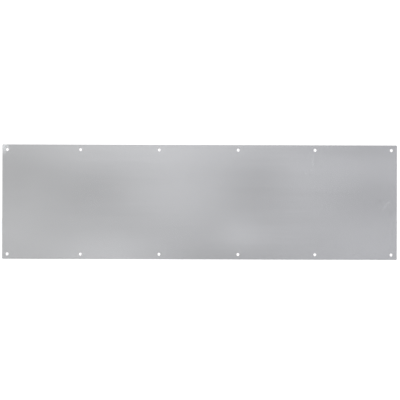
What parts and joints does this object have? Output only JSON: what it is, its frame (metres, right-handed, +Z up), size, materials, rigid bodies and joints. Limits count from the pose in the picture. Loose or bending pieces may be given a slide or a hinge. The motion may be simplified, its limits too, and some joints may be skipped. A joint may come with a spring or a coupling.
{
  "type": "kick plate",
  "caption": "Flat rectangular satin metal sheet that screws to the foot of a door to guard it from kicks, with countersunk holes along both long edges and a clear peel-off film on its face.",
  "frame": {"origin": "centre of the plate's flat back face, which lies against the door", "axes": "+X along the plate's length, to the right as seen from the front; +Y into the door; +Z up, across the plate's height"},
  "size_m": [0.8762, 0.0014, 0.254],
  "materials": {
    "satin_steel": "satin, brushed along the length",
    "clear_film": "clear low-tack polyethylene film, slightly milky where it has lifted"
  },
  "bodies": {
    "root": {"plate": "satin_steel", "protective_film": "clear_film"}
  },
  "joints": []
}
